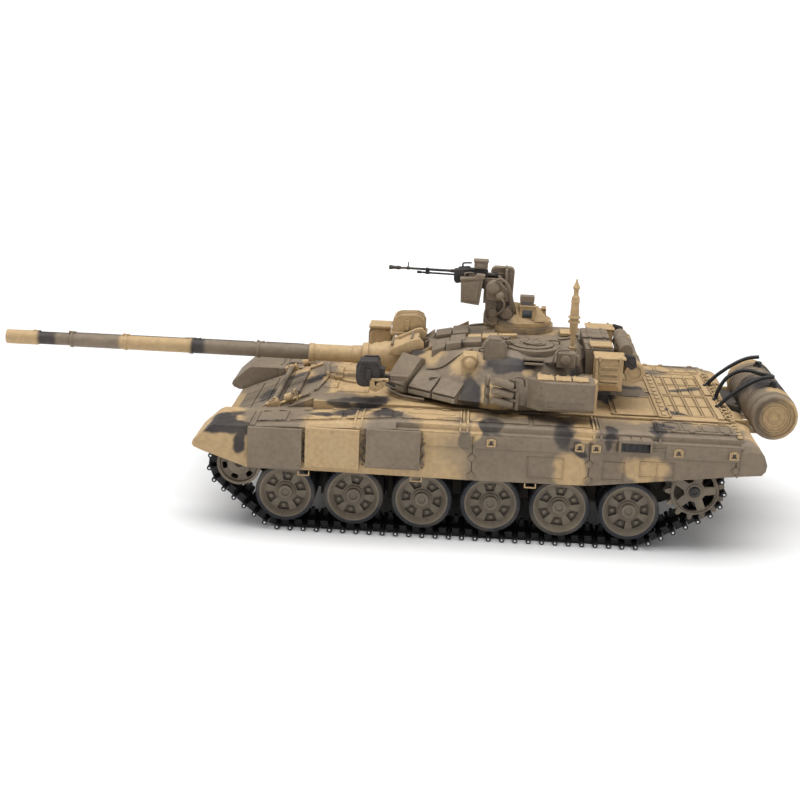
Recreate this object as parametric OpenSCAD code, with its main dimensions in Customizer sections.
// Remote control battle tank, 1:16: +X is the front, +Y the left side, +Z up.
// The tracks stand on z = 0. Turret, gun, hatches, road wheels, sprockets,
// idlers, return rollers and swing arms are separate moving pieces.

/* [Running gear] */
// Radius of a road wheel over its tyre
wheel_r = 23.4; // [22.8:0.1:23.6]
// Distance between neighbouring road wheels
wheel_pitch = 53.4; // [52:0.1:55]
// Height of the road wheel axles above the ground
axle_h = 30; // [30:0.1:30.6]
// Number of teeth on a drive sprocket
sprocket_teeth = 13; // [13:1:13]
// Number of links in one track
link_count = 83; // [82:1:84]
// Distance from the centre line to the middle of a track
track_y = 87.2; // [86.8:0.1:88]

/* [Hull] */
// Half width of the lower hull tub
tub_y = 64; // [62:0.5:65]
// Height of the hull deck
deck_z = 93.6; // [92:0.1:95]
// Half width over the side skirts
skirt_y = 113.2; // [112:0.1:115]
// Wall thickness of the hull mouldings
wall = 2.4; // [1.6:0.1:3]
// Radius of a rear fuel drum
drum_r = 18.3; // [16:0.1:18.6]

/* [Turret] */
// Distance of the turret axis behind the first road wheel
turret_back = 160; // [155:1:165]
// Radius of the turret bearing
ring_r = 60; // [54:1:61]
// Distance of the gun muzzle ahead of the first road wheel
muzzle_x = 252; // [200:1:260]
// Height of the gun axis
gun_z = 114.6; // [113:0.1:116]
// Radius of the gun tube
tube_r = 5.2; // [4:0.1:5.6]

/* [Hidden] */
$fn = 48;

sand = "#c4a373";
brown = "#85796a";
black = "#222222";
steel = "#8a8d90";

// Everything is drawn with the first road wheel at x = 0 and the wheel axles
// at axle_z. place() lifts it onto the ground and centres its length on x = 0.
axle_z = 27;
lift = axle_h - axle_z;
drum = [-380, 95.6];  // x, z of the fuel drum axis
drum_rib = 0.6;       // height of the ribs round a drum
shift_x = -(muzzle_x + (drum[0] - drum_r - drum_rib)) / 2;
turret_x = -turret_back;

// ---- placing and drawing helpers ----
module place() translate([shift_x, 0, lift]) children();
module place_right() mirror([0, 1, 0]) place() children();
module both_sides() {
  children();
  mirror([0, 1, 0]) children();
}
// copies turned evenly about the y axis
module around(count, start = 0)
  for (j = [0 : count - 1]) rotate([0, start + j * 360 / count, 0]) children();

// box from its [low, high] ranges
module box(x, y, z)
  translate([x[0], y[0], z[0]]) cube([x[1] - x[0], y[1] - y[0], z[1] - z[0]]);

// cylinders along one axis; at holds the other two coordinates, in x, y, z order
module rod_x(at, radius, start, end, facets = 48)
  translate([start, at[0], at[1]]) rotate([0, 90, 0])
    cylinder(r = radius, h = end - start, $fn = facets);
module rod_y(at, radius, start, end, facets = 48)
  translate([at[0], end, at[1]]) rotate([90, 0, 0])
    cylinder(r = radius, h = end - start, $fn = facets);
module rod_z(at, radius, start, end, facets = 48)
  translate([at[0], at[1], start]) cylinder(r = radius, h = end - start, $fn = facets);

// outlines swept along one axis: (y, z) along x, (x, z) along y, (x, y) along z
module sweep_x(outline, start, end)
  translate([start, 0, 0]) rotate([90, 0, 90]) linear_extrude(end - start) polygon(outline);
module sweep_y(outline, start, end)
  translate([0, end, 0]) rotate([90, 0, 0]) linear_extrude(end - start) polygon(outline);
module sweep_z(outline, start, end)
  translate([0, 0, start]) linear_extrude(end - start) polygon(outline);
// profile of (radius, -y) turned about the y axis
module turned_y(profile, facets = 48)
  rotate([90, 0, 0]) rotate_extrude($fn = facets) polygon(profile);

// ---- track path: a belt round the last and first road wheels, idler and sprocket ----
idler = [36.8, 48.1];   // x, z of the axle
sprocket = [-316, 46];  // x, z of the axle
last_wheel_x = -5 * wheel_pitch;
idler_belt_r = 22.4;
link_tube_r = 2;
ground_pin_z = link_tube_r - lift;

function sprocket_belt_r(pitch) = pitch / 2 / sin(180 / sprocket_teeth);
// circles that the pins run round: x, z, radius
function belt_circles(pitch) = [
  [last_wheel_x - 2, axle_z, axle_z - ground_pin_z],
  [2, axle_z, axle_z - ground_pin_z],
  [idler[0], idler[1], idler_belt_r],
  [sprocket[0], sprocket[1], sprocket_belt_r(pitch)]];
function full_turn(angle) =
  angle < 0 ? full_turn(angle + 360) : angle >= 360 ? full_turn(angle - 360) : angle;
// direction and length of the straight run from circle a to circle b
function run_angle(a, b) =
  atan2(b[1] - a[1], b[0] - a[0]) + asin((a[2] - b[2]) / norm([b[0] - a[0], b[1] - a[1]]));
function run_length(a, b) =
  sqrt(pow(b[0] - a[0], 2) + pow(b[1] - a[1], 2) - pow(a[2] - b[2], 2));
// length of belt lying on circle i
function arc_length(circles, i) =
  let (before = circles[(i + 3) % 4], here = circles[i], after = circles[(i + 1) % 4])
  here[2] * full_turn(run_angle(here, after) - run_angle(before, here)) * PI / 180;
function belt_length(pitch, i = 0) =
  let (circles = belt_circles(pitch))
  i == 4 ? 0
  : run_length(circles[i], circles[(i + 1) % 4]) + arc_length(circles, i)
    + belt_length(pitch, i + 1);
// The sprocket circle depends on the pitch, so the pitch is found by repetition
function solve_pitch(rounds = 6, pitch = 10) =
  rounds == 0 ? pitch : solve_pitch(rounds - 1, belt_length(pitch) / link_count);

link_pitch = solve_pitch();
belt = belt_circles(link_pitch);
total_length = belt_length(link_pitch);
// point at a distance along the belt, starting where it leaves wheel six
function belt_point(distance, i = 0) =
  let (a = belt[i], b = belt[(i + 1) % 4], angle = run_angle(a, b),
       run = run_length(a, b), arc = arc_length(belt, (i + 1) % 4))
  distance < run
  ? [a[0] + a[2] * sin(angle) + distance * cos(angle),
     a[1] - a[2] * cos(angle) + distance * sin(angle)]
  : distance < run + arc || i > 6
  ? let (turned = angle + (distance - run) / b[2] * 180 / PI)
    [b[0] + b[2] * sin(turned), b[1] - b[2] * cos(turned)]
  : belt_point(distance - run - arc, (i + 1) % 4);
function pin_at(i) =
  let (distance = (i + 0.5) * link_pitch)
  belt_point(distance > total_length ? distance - total_length : distance);
// angle of the sprocket at which a tooth stands between two pins
sprocket_pins = [for (i = [0 : link_count - 1])
  let (pin = pin_at(i)) if (abs(norm(pin - sprocket) - belt[3][2]) < 0.02) pin];
sprocket_phase = atan2(sprocket_pins[1][1] - sprocket[1], sprocket_pins[1][0] - sprocket[0])
  + 180 / sprocket_teeth;

// ---- tracks ----
pin_r = 0.8;
pin_bore_r = 0.85;
// outline of the link plate (x, y): the +y half, then its mirror image
function link_outline(length) =
  let (half = [[length, 0], [length, 6.6], [length - 2.5, 6.6], [length - 2.5, 13.6],
               [0, 13.6], [0, 6.9], [2.5, 6.9], [2.5, 0]])
  concat(half, [for (k = [len(half) - 2 : -1 : 1]) [half[k][0], -half[k][1]]]);

module track_link(length) {
  difference() {
    union() {
      sweep_z(link_outline(length), -2, 1.6);
      // pin tubes: two outer ones at this end, one in the middle at the other
      both_sides() rod_y([0, 0], link_tube_r, 7, 21.8, 24);
      rod_y([length, 0], link_tube_r, -6.6, 6.6, 24);
      // pads that the tyres run on
      both_sides() box([2.3, length - 2.3], [4.2, 13.4], [1.5, 4.2]);
    }
    rod_y([0, 0], pin_bore_r, -24, 24, 16);
    rod_y([length, 0], pin_bore_r, -8, 8, 16);
  }
  // guide horn
  sweep_y([[2.7, 1.4], [length - 2.7, 1.4], [length / 2 + 1.2, 10.4], [length / 2 - 1.2, 10.4]],
    -1.9, 1.9);
}
module track() {
  for (i = [0 : link_count - 1]) {
    pin = pin_at(i);
    step = pin_at((i + 1) % link_count) - pin;
    translate([pin[0], track_y, pin[1]]) rotate([0, -atan2(step[1], step[0]), 0])
      track_link(norm(step));
  }
}
module track_left() color(black) place() track();
module track_right() color(black) place_right() track();
module track_pins() color(steel) place() both_sides()
  for (i = [0 : link_count - 1]) rod_y(pin_at(i), pin_r, track_y - 22, track_y + 22.2, 16);

// ---- drive sprockets ----
shaft_r = 2.5;
shaft_bore_r = 2.55;
// one tooth pointing along x: distance from the axle, distance across
tooth = [[18.6, -2.3], [20.9, -1.8], [22.6, -0.9], [22.6, 0.9], [20.9, 1.8], [18.6, 2.3]];
tooth_ring_outline = [for (k = [0 : sprocket_teeth - 1]) for (q = tooth)
  let (angle = k * 360 / sprocket_teeth + atan2(q[1], q[0])) norm(q) * [cos(angle), sin(angle)]];
// x, z
sprocket_window = [[8, -1.7], [13.9, -6.2], [15.5, -3.3], [16, 0], [15.5, 3.3], [13.9, 6.2],
  [8, 1.7]];

module sprocket_wheel() {
  difference() {
    union() {
      sweep_y(tooth_ring_outline, 14.2, 17.4);
      sweep_y(tooth_ring_outline, -17.4, -14.2);
      rod_y([0, 0], 9, -16, 14.8);
    }
    // five windows between the ring and the hub
    around(5) sweep_y(sprocket_window, 10, 19);
    rod_y([0, 0], shaft_bore_r, -25, 12.4);
    rod_y([0, 0], 13.6, -19, -15.9);
  }
  // raised rim of the outer face
  difference() {
    rod_y([0, 0], 18, 17, 18.3);
    rod_y([0, 0], 16.8, 16, 19);
  }
  // hub boss of the outer face
  difference() {
    rod_y([0, 0], 6.2, 14, 17.9);
    rod_y([0, 0], 3.1, 16.4, 19);
  }
}
module drive_sprocket() translate([sprocket[0], track_y, sprocket[1]]) {
  rotate([0, -sprocket_phase, 0]) sprocket_wheel();
  // output shaft
  rod_y([0, 0], shaft_r, -49, 12.2);
}
module sprocket_left() color(brown) place() drive_sprocket();
module sprocket_right() color(brown) place_right() drive_sprocket();

// ---- idlers ----
// radius, -y from the middle of the track
idler_profile = [
  [3.05, -16], [9, -16], [9.5, -14], [14.5, -14.5], [15.2, -16.4], [17.3, -16.4],
  [17.3, -3], [15, -3], [14, -4.6], [8.6, -4.6], [8.6, 4.6], [14, 4.6], [15, 3], [17.3, 3],
  [17.3, 14.5], [15.2, 14.5], [14.5, 13.5], [9.5, 12.5], [9, 15], [3.05, 15]];
// x, z
idler_window = [[9.8, -1.6], [10.8, -2.6], [12.6, -2.9], [13.6, -1.6],
  [13.6, 1.6], [12.6, 2.9], [10.8, 2.6], [9.8, 1.6]];

module idler_wheel() translate([idler[0], track_y, idler[1]]) difference() {
  turned_y(idler_profile, 72);
  around(6, 12) sweep_y(idler_window, -18, 18);
}
module idler_left() color(brown) place() idler_wheel();
module idler_right() color(brown) place_right() idler_wheel();

// ---- return rollers, hung at a fixed drop below the top run ----
roller_x = [-38, -133.5, -238];
roller_drop = 11.5;
belt_top_rear = sprocket[1] + sprocket_belt_r(link_pitch);
belt_top_front = idler[1] + idler_belt_r;
// x, z of a roller axle
function roller_axle(k) = [roller_x[k],
  belt_top_rear + (belt_top_front - belt_top_rear) * (roller_x[k] - sprocket[0])
    / (idler[0] - sprocket[0]) - roller_drop];
// radius, -y
roller_profile = [[2.05, -83], [4, -83], [4, -81.5], [7, -81.5], [7, -70.5], [2.05, -70.5]];

module return_roller(k) translate([roller_axle(k)[0], 0, roller_axle(k)[1]])
  turned_y(roller_profile);
module roller_l1() color(brown) place() return_roller(0);
module roller_l2() color(brown) place() return_roller(1);
module roller_l3() color(brown) place() return_roller(2);
module roller_r1() color(brown) place_right() return_roller(0);
module roller_r2() color(brown) place_right() return_roller(1);
module roller_r3() color(brown) place_right() return_roller(2);

// ---- road wheels ----
// angle of the windows of each wheel, front to rear
window_turn = [23, 21, 52, 34, 27, 5];
// radius, -y: a dished outer disc and an inner one on one hub, with a gap for the guide horns
rim_profile = [
  [0, -103.8], [3, -103.8], [3.3, -104.5], [5.2, -104.5], [5.6, -103.8], [5.8, -102.4],
  [7.4, -102.2], [7.6, -101.2], [16.6, -101.2], [18.8, -104.4], [19.2, -104.9],
  [20.3, -104.9], [20.3, -91.2], [17, -91.2], [16, -97.5], [8.5, -97.5],
  [8.5, -77], [16, -77], [17, -84], [20.3, -84], [20.3, -72.4], [17.5, -72.4],
  [16, -74.6], [7, -74.6], [7, -72.2], [2.55, -72.2], [2.55, -100.8], [0, -100.8]];
// x, z
wheel_window = [[8.9, -2.9], [15.2, -4.9], [15.9, 0], [15.2, 4.9], [8.9, 2.9]];
tyre_inner_r = 20.35;
tyre_shoulder_r = 22.6;
tyre_chamfer = 0.8;
tyre_faces = [[105, 91.2], [83.8, 72.6]];  // y of the outer and inner face of each tyre

module tyre(outer_y, inner_y) turned_y([
  [tyre_inner_r, -outer_y], [tyre_shoulder_r, -outer_y],
  [wheel_r, tyre_chamfer - outer_y], [wheel_r, -tyre_chamfer - inner_y],
  [tyre_shoulder_r, -inner_y], [tyre_inner_r, -inner_y]], 96);
module road_wheel(k) translate([-k * wheel_pitch, 0, axle_z]) {
  difference() {
    turned_y(rim_profile, 96);
    around(6, window_turn[k]) sweep_y(wheel_window, 99.2, 102.1);
  }
  // a small boss stands in each window
  around(6, window_turn[k]) rod_y([12.4, 0], 1.6, 99, 100.6, 16);
  for (face = tyre_faces) tyre(face[0], face[1]);
}
module wheel_l1() color(brown) place() road_wheel(0);
module wheel_l2() color(brown) place() road_wheel(1);
module wheel_l3() color(brown) place() road_wheel(2);
module wheel_l4() color(brown) place() road_wheel(3);
module wheel_l5() color(brown) place() road_wheel(4);
module wheel_l6() color(brown) place() road_wheel(5);
module wheel_r1() color(brown) place_right() road_wheel(0);
module wheel_r2() color(brown) place_right() road_wheel(1);
module wheel_r3() color(brown) place_right() road_wheel(2);
module wheel_r4() color(brown) place_right() road_wheel(3);
module wheel_r5() color(brown) place_right() road_wheel(4);
module wheel_r6() color(brown) place_right() road_wheel(5);

// ---- trailing arms from the pivots in the tub to the wheel axles ----
arm_pivot = [13, 9];  // x, z from the wheel axle
arm_pivot_r = 3;

module swing_arm(k) translate([-k * wheel_pitch, 0, axle_z]) {
  rod_y([0, 0], 5.6, tub_y + 1, tub_y + 6.6);
  rod_y(arm_pivot, 6.4, tub_y + 1, tub_y + 6.6);
  rotate([0, -atan2(arm_pivot[1], arm_pivot[0]), 0])
    box([0, norm(arm_pivot)], [tub_y + 1.6, tub_y + 6], [-3.8, 3.8]);
  // axle and pivot pin
  rod_y([0, 0], 2.5, tub_y + 6, 100.4);
  rod_y(arm_pivot, arm_pivot_r, tub_y - 5, tub_y + 2);
}
module arm_l1() color(brown) place() swing_arm(0);
module arm_l2() color(brown) place() swing_arm(1);
module arm_l3() color(brown) place() swing_arm(2);
module arm_l4() color(brown) place() swing_arm(3);
module arm_l5() color(brown) place() swing_arm(4);
module arm_l6() color(brown) place() swing_arm(5);
module arm_r1() color(brown) place_right() swing_arm(0);
module arm_r2() color(brown) place_right() swing_arm(1);
module arm_r3() color(brown) place_right() swing_arm(2);
module arm_r4() color(brown) place_right() swing_arm(3);
module arm_r5() color(brown) place_right() swing_arm(4);
module arm_r6() color(brown) place_right() swing_arm(5);

// ---- lower hull ----
floor_z = 19;
floor_top = floor_z + wall;
split_z = 70;  // joint between lower and upper hull
tub_rear_x = -345;
bearing_bore_r = 2.9;
// x, z
tub_outline = [[tub_rear_x, split_z], [tub_rear_x, 40], [-288, floor_z], [12, floor_z],
  [58.5, 57.3], [58.3, 58.8], [50, 63.1], [34, split_z]];
tub_hollow = [[tub_rear_x + wall, split_z + 1], [tub_rear_x + wall, 41.8],
  [-287.4, floor_top], [11, floor_top], [54, 57], [33, split_z + 1]];

module tub() difference() {
  sweep_y(tub_outline, -tub_y, tub_y);
  sweep_y(tub_hollow, -tub_y + wall, tub_y - wall);
  // bores for the arm pivots and the two output shafts
  for (k = [0 : 5])
    rod_y([-k * wheel_pitch + arm_pivot[0], axle_z + arm_pivot[1]], arm_pivot_r + 0.05,
      -tub_y - 1, tub_y + 1);
  rod_y(sprocket, bearing_bore_r, -tub_y - 1, tub_y + 1);
  // slot for the power switch
  box([-74, -63], [-44, -40], [floor_z - 1, floor_z + 4]);
}
// fixed axles of idler and return rollers, each with a thicker root
module fixed_axles() {
  rod_y(idler, 3, tub_y - 1, track_y + 15.2);
  rod_y(idler, 6.5, tub_y - 0.5, track_y - 16.6);
  for (k = [0 : 2]) {
    rod_y(roller_axle(k), 2, tub_y - 1, 84.4);
    rod_y(roller_axle(k), 3.6, tub_y - 0.5, 70.2);
  }
}
// dampers of the first two wheels and the last one
module dampers() for (x = [-27, -80.4, -286]) {
  rod_z([x, 67.6], 3, 15, 50, 32);
  box([x - 2, x + 2], [tub_y - 0.5, 67], [33, 48]);
}
module drive_bearing() difference() {
  rod_y(sprocket, 9, tub_y - 0.5, 68.8);
  rod_y(sprocket, bearing_bore_r, tub_y - 3, 70);
}
module bump_stops() for (k = [0, 1, 5])
  translate([-k * wheel_pitch, 0, 0]) box([-12, -6], [tub_y - 0.5, tub_y + 4.5], [46, 51]);
module lower_hull() color(brown) place() {
  tub();
  both_sides() {
    fixed_axles();
    dampers();
    drive_bearing();
    bump_stops();
  }
}

// ---- upper hull ----
nose = [62, 61.5];          // x, z of the front edge
glacis_top = [-17, deck_z]; // x, z where the sloping front plate meets the deck
glacis_angle = atan2(deck_z - nose[1], nose[0] - glacis_top[0]);
deck_rear_x = -346;
fender_top = 91.6;
// the fender falls towards the front between these stations
slope_x = -85;
slope_end = [30, 82.4];  // x, z
slope_angle = atan2(fender_top - slope_end[1], slope_end[0] - slope_x);
guard_wall = 1.7;

// level fender (y, z), with its underside
fender_outline = [[tub_y - 2, split_z], [tub_y, split_z], [tub_y, 89.4], [104.2, 89.4],
  [106.6, 88.4], [107.4, 84], [skirt_y, 84], [skirt_y, 85.8], [109.6, 86.4], [108.6, 90.2],
  [105, fender_top], [tub_y - 2, fender_top]];
// sections (y, z) of the sloping fender and of the space under it, at its two ends
slope_rear = [[tub_y - 2, 84], [tub_y - 2, fender_top], [105, fender_top], [108.6, 90.2],
  [skirt_y, 85.8], [skirt_y, 84]];
slope_front = [[tub_y - 2, 80.8], [tub_y - 2, 82.4], [skirt_y - 0.6, 82.4], [skirt_y, 82],
  [skirt_y, 80.8]];
under_rear = [[tub_y, 75], [tub_y, 89.8], [104.2, 89.8], [106.6, 88.4], [108.4, 84.05],
  [108.4, 75]];
under_front = [[tub_y, 75], [tub_y, 80.6], [108.4, 80.6], [108.4, 75]];

// mudguards: outside and hollow from the side (x, z), then the same from the front (y, z)
front_guard = [[28, 48.5], [64, 60.5], [70.4, 63.2], [72, 65.4], [71.2, 68.2], [58.6, 79.8],
  [54.4, 82], [28, 82.4]];
front_guard_hollow = [[26, 46], [29.8, 47.2], [65, 58.9], [71.5, 62.5], [69.6, 66.6],
  [57.4, 78], [53.8, 80.1], [26, 80.6]];
front_guard_section = [[tub_y - 3, 40], [skirt_y, 40], [skirt_y, 81.6], [skirt_y - 0.8, 82.4],
  [tub_y - 3, 82.4]];
front_guard_hollow_section = [[tub_y - 4, 39], [skirt_y - guard_wall, 39],
  [skirt_y - guard_wall, 80], [skirt_y - 2.3, 80.6], [tub_y - 4, 80.6]];
rear_guard = [[-346, 62.9], [-363, 64.6], [-366, 68], [-366.6, 73], [-364, 80],
  [-359.5, 86.4], [-355, 89.2], [-346, 90.4]];
rear_guard_hollow = [[-344, 58], [-363, 62], [-364.2, 68.6], [-364.8, 73], [-362.4, 79.2],
  [-358, 85], [-353.8, 87.2], [-344, 88.4]];
rear_guard_section = [[tub_y - 3, 40], [skirt_y, 40], [skirt_y, 82.6], [110.6, 86.6],
  [105, 91.8], [tub_y - 3, 92]];
rear_guard_hollow_section = [[tub_y - 4, 39], [skirt_y - guard_wall, 39],
  [skirt_y - guard_wall, 81.4], [109.3, 84.9], [104.4, 90], [tub_y - 4, 90]];

module on_glacis()
  translate([glacis_top[0], 0, deck_z]) rotate([0, glacis_angle, 0]) children();
// nose, sloping front plate and deck, and the rear plate
module hull_plates() {
  sweep_y([[deck_rear_x, deck_z - wall], [deck_rear_x, deck_z], glacis_top, nose,
    [59.6, 58.6], [50.6, 63.7], [-17.6, deck_z - wall]], -tub_y - 1, tub_y + 1);
  sweep_y([[-349, 70], [-349, 88], [deck_rear_x, deck_z], [-344, deck_z], [-344, 70]],
    -tub_y - 1, tub_y + 1);
}
module fender() {
  sweep_x(fender_outline, -348, slope_x);
  difference() {
    hull() {
      sweep_x(slope_rear, slope_x - 0.1, slope_x);
      sweep_x(slope_front, slope_end[0] - 0.1, slope_end[0]);
    }
    hull() {
      sweep_x(under_rear, slope_x - 0.2, slope_x);
      sweep_x(under_front, slope_end[0], slope_end[0] + 0.2);
    }
  }
  // end wall of the fender box
  box([28, 29.7], [tub_y + 0.05, 108], [76, 81.5]);
}
// upright walls between fender and deck
module hull_sides() {
  box([slope_x - 1, 30], [tub_y - 2, tub_y], [70, 82]);
  box([-347.5, slope_x], [tub_y + 0.5, 73], [89.5, deck_z]);
  box([slope_x - 0.1, glacis_top[0]], [tub_y + 0.5, 73], [84, deck_z]);
  sweep_y([[slope_x - 0.2, 80], [slope_x - 0.2, deck_z], glacis_top,
    [12, deck_z - 29 * tan(glacis_angle)], [12, 80]], tub_y - 1, tub_y + 1);
}
module mudguard(outline, hollow, section, hollow_section, start, end) intersection() {
  difference() {
    sweep_y(outline, tub_y + 0.05, skirt_y);
    intersection() {
      sweep_y(hollow, tub_y - 2, skirt_y - guard_wall);
      sweep_x(hollow_section, start, end + 10);
    }
  }
  sweep_x(section, start, end);
}
module mudguards() {
  mudguard(front_guard, front_guard_hollow, front_guard_section, front_guard_hollow_section,
    0, 80);
  mudguard(rear_guard, rear_guard_hollow, rear_guard_section, rear_guard_hollow_section,
    -380, -340);
  // inner wall of the front mudguard
  intersection() {
    sweep_y(front_guard, tub_y + 0.05, tub_y + 1.1);
    box([27, 75], [tub_y - 1, tub_y + 2], [61, 90]);
  }
}
module bearing_seat() rod_z([turret_x, 0], ring_r + 0.06, 60, 120, 96);
module driver_hatch_groove() difference() {
  rod_z([-46, 0], 16.4, deck_z - 0.6, deck_z + 1);
  rod_z([-46, 0], 15.6, deck_z - 2, deck_z + 2);
}
// panels of the radiator outlet, flush with the deck
module radiator_grooves() both_sides() for (j = [0 : 3]) translate([j * 9.6, 0, 0])
  difference() {
    box([-333.4, -325], [3, 59], [deck_z - 0.8, deck_z + 1]);
    for (y = [[4.4, 30], [32, 57.6]])
      box([-332.2, -326.2], y, [deck_z - 1, deck_z - 0.2]);
  }
module splash_collar() difference() {
  rod_z([turret_x, 0], ring_r + 5, deck_z - 1, deck_z + 0.5, 96);
  bearing_seat();
}
module deck_plates() {
  box([-290, -256], [3, 68], [deck_z - 0.5, deck_z + 0.9]);
  box([-340, -335], [3, 68], [deck_z - 0.5, deck_z + 1.2]);
}
// stowage box lids and straps along the fender
module fender_lids() {
  for (x = [[-134, -88.6], [-186, -141], [-233, -190]]) box(x, [78, 103], [91, 92.5]);
  for (x = [-139, -136.4, -238.4, -235.8]) box([x - 0.7, x + 0.7], [73.5, 105], [91, 92.6]);
  translate([slope_x, 0, fender_top]) rotate([0, slope_angle, 0])
    for (x = [[4, 39], [43, 82], [86, 110]]) box(x, [78, 103], [-0.8, 0.9]);
  box([-344, -283], [76, 104], [91, 93]);
}
// exhaust outlet on the left side
module exhaust() difference() {
  union() {
    box([-279, -254], [104, 119.4], [84.4, 88.2]);
    box([-279, -254], [104, 113.2], [80, 88.2]);
    for (x = [[-279, -277.6], [-255.4, -254]]) box(x, [110, 119.4], [78.4, 88]);
  }
  box([-277.6, -255.4], [100, 125], [76, 86.6]);
}
module upper_hull() color(sand) place() {
  difference() {
    union() {
      hull_plates();
      both_sides() {
        fender();
        hull_sides();
        mudguards();
      }
    }
    bearing_seat();
    driver_hatch_groove();
    radiator_grooves();
  }
  splash_collar();
  both_sides() {
    deck_plates();
    fender_lids();
  }
  exhaust();
}

// ---- skirts and added armour ----
// x, z
skirt_outline = [[27.9, 49.2], [-150, 48.2], [-234, 49.1], [-345.9, 62.9], [-345.9, 83.9],
  [slope_x, 83.9], [27.9, 80.7]];
panel_front_x = [27.7, -16.4, -63];
panel_length = 41.4;

module side_skirts() color(brown) place() both_sides() difference() {
  union() {
    sweep_y(skirt_outline, skirt_y - 2, skirt_y);
    // stiffening rib under the hinge line
    box([-344, -24], [skirt_y - 0.1, skirt_y + 0.5], [80.4, 81.8]);
  }
  // seams between the skirt sections
  for (x = [-144, -233, -343.2])
    box([x - 0.35, x + 0.35], [skirt_y - 0.7, skirt_y + 1], [40, 90]);
  // gap for the exhaust
  box([-279.2, -253.8], [skirt_y - 3, skirt_y + 1], [78, 90]);
}
// three panels a side, each on two spacers, with a step along the lower edge
module skirt_armor() color(sand) place() both_sides() for (k = [0 : 2])
  translate([panel_front_x[k], 0, 0]) difference() {
    union() {
      box([-panel_length, 0], [skirt_y + 3, skirt_y + 6], [50.4 + k * 2.6, 83 + k * 1.6]);
      for (x = [[-38, -34], [-8, -4]]) box(x, [skirt_y + 0.52, skirt_y + 3.2], [58, 80]);
    }
    box([0.1 - panel_length, -0.1], [skirt_y + 5.6, skirt_y + 7], [49, 51.4 + k * 2.6]);
  }
module glacis_armor() color(brown) place() on_glacis() {
  // reactive tiles
  for (i = [0 : 3]) for (j = [-2 : 1]) translate([i * 14.4, j * 22, 0])
    box([17, 30.4], [0.7, 21.3], [0.02, 2.4]);
  // bolted edge strips
  both_sides() difference() {
    box([6, 74], [46, 53], [0.02, 2]);
    for (k = [0 : 4]) rod_z([12 + k * 14, 49.5], 1.2, -1, 4, 16);
  }
}

// ---- fuel drums and hull fittings ----
rib_r = drum_r + drum_rib;
// radius, y
drum_profile = [
  [0, 2.4], [15.6, 2.4], [15.9, 1.2], [17.3, 1.2], [drum_r, 2.6],
  [drum_r, 17], [rib_r, 17.6], [rib_r, 18.8], [drum_r, 19.4],
  [drum_r, 41.8], [rib_r, 42.4], [rib_r, 43.6], [drum_r, 44.2],
  [drum_r, 58.6], [17.3, 60], [15.9, 60], [15.6, 58.8],
  [12.2, 58.8], [12, 59.5], [11.2, 59.5], [11, 58.8],
  [5.2, 58.8], [5, 59.5], [4.2, 59.5], [4, 58.8], [0, 58.8]];
filler = [drum[0] - 2, 33];  // x, y
hose_foot_x = -341;
beam = [16.9, 83];  // x, z of the beam brackets over the front plate
beam_end_y = 53.2;
// x, z
tow_hook = [[59.8, 57], [64, 55], [67, 50], [64, 47], [60, 48], [56.4, 54]];

module fuel_drums() color(sand) place() both_sides() translate([drum[0], 0, drum[1]])
  rotate([-90, 0, 0]) rotate_extrude($fn = 96) polygon(drum_profile);
module hose(points, radius) for (i = [0 : len(points) - 2]) hull() {
  translate(points[i]) sphere(r = radius, $fn = 14);
  translate(points[i + 1]) sphere(r = radius, $fn = 14);
}
// one hose for each drum: up from the deck, over the top and onto the filler
module fuel_hoses() color(black) place() both_sides() {
  translate([filler[0], filler[1], drum[1] + drum_r + 0.05])
    cylinder(r = 2.6, h = 4.2, $fn = 24);
  hose([for (t = [0 : 5]) [hose_foot_x - (hose_foot_x - filler[0]) * pow(t / 5, 1.3),
    filler[1], deck_z + 2.4 + 24.2 * sin(t * 20)]], 1.15);
}
module drum_cradles() for (y = [9, 49]) difference() {
  box([-374, -348], [y, y + 3.4], [80, 98]);
  translate([drum[0], 0, drum[1]]) rotate([90, 0, 0])
    cylinder(r = drum_r + 0.75, h = 200, center = true, $fn = 96);
  box([-380, -349.02], [0, 100], [90, 120]);
  box([-349.05, -340], [0, 100], [70, 100]);
}
module beam_bracket() translate([beam[0], beam_end_y, beam[1]]) rotate([0, glacis_angle, 0])
  difference() {
    box([-5, 5], [0, 8.6], [-2.2, 4]);
    box([-3.2, 3.2], [1.8, 6.8], [-5, 5]);
  }
// headlight with its guard hoop
module headlight() on_glacis() translate([20, 57.6, 0]) {
  rod_x([0, 5.4], 3.4, -2, 4, 32);
  box([-1, 1], [-1, 1], [0.03, 3]);
  difference() {
    box([-6, -5], [-4.2, 4.2], [0.03, 10]);
    box([-7, 7], [-3.4, 3.4], [-1, 9.2]);
  }
}
module nose_hook() difference() {
  sweep_y(tow_hook, 40, 43);
  rod_y([63.4, 50.6], 1.5, 39, 44, 24);
}
// clips at the top of the skirt and grab handles at its lower edge
module skirt_fittings() {
  for (x = [-158, -225, -237.5, -299.5, -341])
    box([x - 2, x + 2], [skirt_y + 0.52, skirt_y + 1.6], [78.6, 82.6]);
  for (x = [-15, -102, -189.5]) difference() {
    box([x - 4.6, x + 4.6], [skirt_y - 1, skirt_y + 0.2], [44.4, 48.15]);
    box([x - 3.6, x + 3.6], [skirt_y - 2, skirt_y + 2], [45.4, 50]);
  }
}
module hull_fittings() color(brown) place() {
  both_sides() {
    drum_cradles();
    beam_bracket();
    headlight();
    nose_hook();
    skirt_fittings();
  }
  // transverse beam between the brackets
  rod_y([beam[0], beam[1] + 3.6], 2, 0.02 - beam_end_y, beam_end_y - 0.02, 32);
}

// ---- works inside the hull ----
motor = [44, 54];         // y, z of the motor axis
gear_shaft = [-300, 54];  // x, z
motor_shaft_r = 1.5;
cell_r = 8.5;

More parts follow.
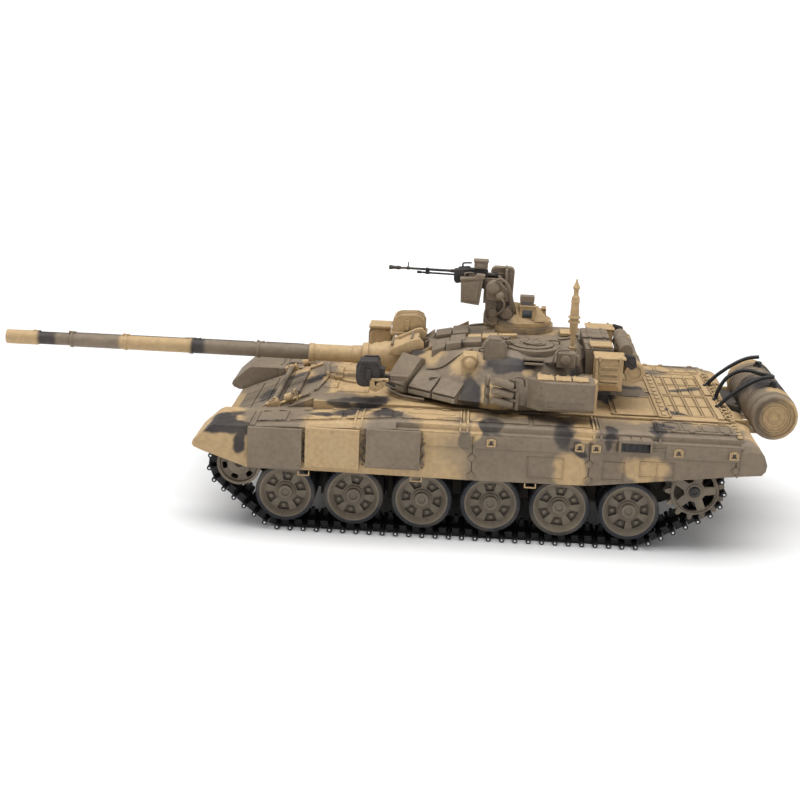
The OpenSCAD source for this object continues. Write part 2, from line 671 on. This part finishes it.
module drive_gearboxes() color(steel) place() both_sides() {
  difference() {
    box([-336, -292], [30, 59], [41, 66]);
    box([-334, -294], [32, 55], [43, 64]);
    rod_y(sprocket, shaft_bore_r, 20, 61);
    rod_x(motor, motor_shaft_r + 0.1, -295, -290, 24);
  }
  // gear, hub and shaft
  rod_y(gear_shaft, 7.5, 46, 49, 40);
  rod_y(gear_shaft, 3, 40, 46, 24);
  rod_y(gear_shaft, 1.5, 31, 57, 24);
}
module drive_motors() color(steel) place() both_sides() {
  rod_x(motor, 12, -291.9, -252, 48);
  rod_x(motor, 5, -252, -249, 32);
  rod_x(motor, motor_shaft_r, -296, -291, 24);
}
// three by two cells lying along the hull
module battery_pack() color("#2f4f7f") place() for (j = [-1 : 1]) for (k = [0 : 1])
  rod_x([j * 17.2, floor_top + 0.1 + cell_r + k * 17.1], cell_r, -120, -70, 40);
module control_board() color("#2b5b3a") place() {
  box([-222, -146], [-34, 34], [60, 61.6]);
  // parts on the board
  box([-214, -200], [-20, 10], [61.5, 68]);
  box([-190, -176], [-26, -4], [61.5, 66]);
  box([-172, -160], [4, 26], [61.5, 70]);
  // posts
  both_sides() for (x = [-218, -150]) rod_z([x, 30], 2.2, floor_top + 0.02, 60, 24);
}
module power_switch() color(black) place() {
  box([-72.8, -68.8], [-43.8, -40.2], [floor_z - 1.6, floor_top + 0.1]);
  box([-73.6, -66.4], [-45.4, -38.6], [floor_top + 0.02, floor_top + 1.4]);
}

// ---- turret ----
trunnion = [-84, gun_z];     // x, z
trunnion_r = 3;
cupola_axis = [-180, -33];   // x, y
gunner_axis = [-188, 34];    // x, y
// left half outlines (x, y), front to rear, at the widest level and at the roof edge
base_outline = [[-78, 20], [-88, 46], [-128, 76], [-160, 85], [-196, 82], [-226, 62],
  [-238, 30]];
roof_outline = [[-92, 18], [-106, 32], [-140, 60], [-165, 66], [-196, 62], [-222, 48],
  [-232, 24]];

function with_mirror(half) =
  concat(half, [for (i = [len(half) - 1 : -1 : 0]) [half[i][0], -half[i][1]]]);
// scaled along x about the turret axis, and across y
function scaled(outline, along, across) =
  [for (q = outline) [turret_x + (q[0] - turret_x) * along, q[1] * across]];
// thin slice of the body; layer columns: outline, x scale, y scale, z
module turret_slice(layer, grow) translate([0, 0, layer[3]]) linear_extrude(0.01)
  polygon(with_mirror(scaled(layer[0], layer[1] + grow, layer[2] + grow)));
// cast body of the turret; grow enlarges it a little to seat parts on it
module turret_body(grow = 0) {
  rise = grow * 50;
  layers = [[base_outline, 0.93, 0.93, 95.4], [base_outline, 1, 1, 101.5],
    [roof_outline, 1, 1, 129 + rise], [roof_outline, 0.86, 0.8, 138 + rise]];
  // x, z: the roof falls away towards the gun
  roof_side = [[-50, 80], [-50, 120 + rise], [-92, 125.5 + rise], [-128, 133 + rise],
    [-172, 137.2 + rise], [-245, 136.2 + rise], [-245, 80]];
  intersection() {
    union() {
      for (i = [0 : 2]) hull() {
        turret_slice(layers[i], grow);
        turret_slice(layers[i + 1], grow);
      }
    }
    sweep_y(roof_side, -100, 100);
  }
}
// cuts parts back to the surface of the turret body
module seated_on_turret() difference() {
  union() children();
  turret_body(0.001);
}
module turret_shell() color(sand) place() difference() {
  union() {
    turret_body();
    // bearing spigot
    rod_z([turret_x, 0], ring_r, 88.4, 97, 96);
    // cupola base and hatch seat
    rod_z(cupola_axis, 27, 126, 142, 64);
    rod_z(gunner_axis, 20, 126, 137.4, 64);
  }
  // hollow for the gun works
  rod_z([turret_x, 0], ring_r - 3, 80, 112, 96);
  // gun slot
  box([-104, -60], [-17, 17], [94, 150]);
  box([-119, -104], [-14, 14], [96, 124]);
  rod_y(trunnion, trunnion_r + 0.05, -24, 24);
  // cupola race and opening
  rod_z(cupola_axis, 20.06, 134, 143, 64);
  rod_z(cupola_axis, 14, 120, 143, 64);
  // gunner hatch opening
  rod_z(gunner_axis, 13.5, 120, 143, 64);
}

// cheek wedges: bottom edge from and to (x, y), bottom z, top z, set back, lip height
cheek_wedges = [
  [[-90, 53.5], [-109.5, 66.8], 99, 118.6, 20, 3.4],
  [[-109.5, 66.8], [-129, 80], 99, 118, 20, 3.4],
  [[-70.5, 37], [-87.5, 54], 99, 124.5, 19, 5]];
module wedge(from, to, bottom, top, back, lip) {
  edge = to - from;
  translate([from[0], from[1], 0]) rotate([0, 0, atan2(edge[1], edge[0])])
    sweep_x([[0, bottom], [0, bottom + lip], [back, top], [back + 3, top - 2],
      [back - 4, bottom + 5], [4, bottom - 1]], 0.5, norm(edge) - 0.5);
}
module turret_armor() color(brown) place() seated_on_turret() both_sides()
  for (w = cheek_wedges) wedge(w[0], w[1], w[2], w[3], w[4], w[5]);

// plan outlines (x, y) of the bins
side_bin = [[-184, 87], [-198, 99.4], [-234, 99.4], [-238, 84], [-232, 70], [-186, 83]];
rear_bin = [[-237, 42], [-237, 58], [-240, 61.5], [-254, 61.5], [-259, 58], [-259, 42]];
module side_bins() difference() {
  sweep_z(side_bin, 101.4, 124.6);
  sweep_x([[95.4, 101], [101, 101], [101, 106]], -240, -180);
}
// rear corner bins with three grooves
module rear_bins() difference() {
  sweep_z(rear_bin, 110, 137);
  sweep_x([[64, 109], [57.5, 109], [61.6, 116], [64, 116]], -262, -234);
  for (j = [0 : 2]) box([-255, -241], [61.1, 63], [117 + j * 5, 118 + j * 5]);
}
module turret_bins() color(brown) place() seated_on_turret() {
  both_sides() {
    side_bins();
    rear_bins();
    // boxes between the rear bins, and their links to them
    box([-252, -231], [4, 38], [116, 137]);
    box([-252, -238], [36, 44], [118, 122]);
    // arms that carry the bins
    box([-240, -222], [44, 50], [115, 119]);
    // arms of the wading tube
    box([-264, -251], [28, 32], [118, 124]);
  }
  box([-250, -233], [-2, 2], [115, 131]);
  // deep wading tube across the back
  rod_y([-268.4, 125], 7.8, -54, 54, 8);
}

// x, y
jammer_outline = [[-52, 55], [-52, 67], [-55, 70], [-65, 70], [-66, 67.5], [-66, 52.5],
  [-55, 52.5]];
// x, z
gunner_sight = [[-149, 128], [-149, 142], [-153, 147.6], [-161, 147.6], [-167, 141],
  [-167, 128]];
sensor_axis = [-220, 30];  // x, y
// radius, height
sensor_profile = [[0, 0], [1.6, 0], [3.2, 6], [3.2, 20], [2, 22], [2, 26], [3, 28],
  [0.8, 33], [0.8, 34.6], [0, 35]];
// infrared jammer lamp on its arm
module jammer_lamp() difference() {
  union() {
    sweep_z(jammer_outline, 107, 126.4);
    box([-90, -65.9], [53, 58], [109, 113]);
  }
  rod_x([61, 116.8], 7.6, -53.5, -51, 32);
}
module grenade_tubes() {
  for (k = [0 : 2]) translate([-172, 89, 103 + k * 7.4]) rotate([0, -18, 24])
    rod_x([0, 0], 3.1, 0, 17, 32);
  box([-176, -170], [80, 88], [100, 122]);
}
// night sight box to the right of the gun
module night_sight() {
  difference() {
    box([-98, -73], [-41, -23], [128.5, 142.4]);
    box([-74, -72], [-38, -26], [131, 140]);
  }
  box([-97.5, -93.6], [-28, -24], [123.6, 129]);
}
module wind_sensor() {
  rod_z(sensor_axis, 2.2, 130, 138, 24);
  rod_z(sensor_axis, 1.6, 137, 160, 24);
  translate([sensor_axis[0], sensor_axis[1], 158])
    rotate_extrude($fn = 24) polygon(sensor_profile);
}
module turret_fittings() color(brown) place() seated_on_turret() {
  both_sides() {
    jammer_lamp();
    grenade_tubes();
  }
  night_sight();
  sweep_y(gunner_sight, 46, 60);
  wind_sensor();
}

// ---- gun ----
bore_r = 3.9;
bore_end_x = 214;
// radius, x
barrel_profile = [
  [0, -60], [7, -60], [7.6, -58.5], [7.6, -41], [7, -40.5], [7, -9], [7.6, -8.5],
  [7.6, -4.5], [6.4, -4], [6.4, 37], [7, 37.4], [7, 39.4], [6.2, 39.8],
  [6.2, 93.4], [6.8, 93.8], [6.8, 96.6], [6.1, 97], [6.1, 149], [6.7, 149.4],
  [6.7, 151.4], [6, 151.8], [6, 195], [6.6, 195.4], [6.6, 197.4],
  [tube_r, 197.8], [tube_r, 224], [6, 226], [6, muzzle_x],
  [bore_r, muzzle_x], [bore_r, bore_end_x], [0, bore_end_x]];
// x, z from the gun axis
mantlet_outline = [[-62, -9.5], [-62, 9.5], [-72, 12], [-90, 17], [-97, 12], [-99, 0],
  [-96, -11], [-84, -14], [-70, -11]];

module gun_barrel() color(brown) place() translate([0, 0, gun_z]) rotate([0, 90, 0])
  rotate_extrude($fn = 64) polygon(barrel_profile);
module gun_mantlet() color(sand) place() {
  difference() {
    union() {
      sweep_y([for (q = mantlet_outline) [q[0], gun_z + q[1]]], -13.5, 13.5);
      rod_y(trunnion, trunnion_r, -21.5, 21.5);
    }
    rod_x([0, gun_z], 7.05, -70, -50);
  }
  // collar that clamps the barrel root
  difference() {
    rod_x([0, gun_z], 10, -62.5, -54);
    rod_x([0, gun_z], 7.65, -70, -50);
  }
}

// ---- cupola, hatches and machine gun ----
lid_hinge = [-198.6, 154.1];  // x, z
hinge_bore_r = 0.85;
gun_pivot = [-152, 176];      // x, z of the machine gun pivot
pivot_bore_r = 1.55;

module lid_hinge_bore() rod_y(lid_hinge, hinge_bore_r, -40, -26, 24);
module gun_pivot_bore() rod_y(gun_pivot, pivot_bore_r, -40, -10, 24);
module cupola_ring() difference() {
  union() {
    rod_z(cupola_axis, 20, 136, 143, 64);
    rod_z(cupola_axis, 25, 142.1, 146, 64);
    translate([cupola_axis[0], cupola_axis[1], 146])
      cylinder(r1 = 23, r2 = 19, h = 6, $fn = 64);
    // hinge ears of the lid
    for (y = [[-38, -35], [-31, -28]]) box([-200.4, -196.8], y, [146, 155.8]);
  }
  rod_z(cupola_axis, 12.2, 130, 160, 64);
  lid_hinge_bore();
}
// machine gun stand: post with two cheeks
module gun_stand() difference() {
  union() {
    box([-160, -148], [-33, -17], [142.1, 148]);
    box([-158, -149], [-32, -18], [147, 162]);
    for (y = [[-33, -30.4], [-19.6, -17]]) box([-158, -147], y, [160, 181]);
  }
  gun_pivot_bore();
}
// armoured shield behind the gun, with its bracket
module gun_shield() {
  difference() {
    box([-166.2, -164.4], [-38, -16], [158, 189]);
    box([-168, -160], [-28.6, -21.4], [168, 190]);
  }
  box([-165, -157], [-26.6, -23.4], [158, 161.9]);
}
module cupola() color(sand) place() {
  cupola_ring();
  gun_stand();
  gun_shield();
}
module commander_hatch() color(sand) place() difference() {
  union() {
    rod_z(cupola_axis, 13.6, 152.1, 154, 64);
    rod_z(cupola_axis, 9, 153.9, 155.2, 48);
    box([-198.6, -190], [-34.9, -31.1], [152.5, 154.6]);
    rod_y(lid_hinge, 1.6, -34.9, -31.1, 24);
  }
  lid_hinge_bore();
}
module gunner_hatch() color(brown) place() {
  rod_z(gunner_axis, 16.5, 137.5, 139.6, 64);
  rod_z([-190, 34], 8.4, 139.5, 140.6, 48);
  // hinge
  difference() {
    union() {
      box([-174, -169], [31, 37], [137.5, 140]);
      rod_y([-168.6, 140], 1.8, 31, 37, 24);
    }
    rod_y([-168.6, 140], hinge_bore_r, 28, 40, 24);
  }
}
module machine_gun() color(black) place() {
  // receiver and pivot block
  difference() {
    union() {
      box([-159, -122], [-27.6, -22.4], [181, 188.4]);
      box([-156, -148], [-30.2, -19.8], [173.6, 181.1]);
    }
    gun_pivot_bore();
  }
  rod_y(gun_pivot, 1.5, -33, -17, 24);
  // barrel, muzzle and gas tube
  rod_x([-25, 186.4], 1.5, -123, -76, 24);
  rod_x([-25, 186.4], 2.2, -76, -67, 24);
  rod_x([-25, 182.6], 1.1, -123, -92, 20);
  // ammunition box, its link to the receiver, and the block on top
  box([-143, -128], [-22.5, -13], [158.6, 181.5]);
  box([-140, -134], [-22.6, -20.4], [180, 187]);
  box([-146, -138], [-28.6, -22.4], [188.3, 194.6]);
}

lower_hull();
upper_hull();
side_skirts();
skirt_armor();
glacis_armor();
fuel_drums();
fuel_hoses();
hull_fittings();
drive_gearboxes();
drive_motors();
battery_pack();
control_board();
power_switch();
turret_shell();
turret_armor();
turret_bins();
turret_fittings();
gun_barrel();
gun_mantlet();
cupola();
commander_hatch();
gunner_hatch();
machine_gun();
track_left();
track_right();
track_pins();
sprocket_left();
sprocket_right();
idler_left();
idler_right();
arm_l1();
arm_l2();
arm_l3();
arm_l4();
arm_l5();
arm_l6();
arm_r1();
arm_r2();
arm_r3();
arm_r4();
arm_r5();
arm_r6();
wheel_l1();
wheel_l2();
wheel_l3();
wheel_l4();
wheel_l5();
wheel_l6();
wheel_r1();
wheel_r2();
wheel_r3();
wheel_r4();
wheel_r5();
wheel_r6();
roller_l1();
roller_l2();
roller_l3();
roller_r1();
roller_r2();
roller_r3();
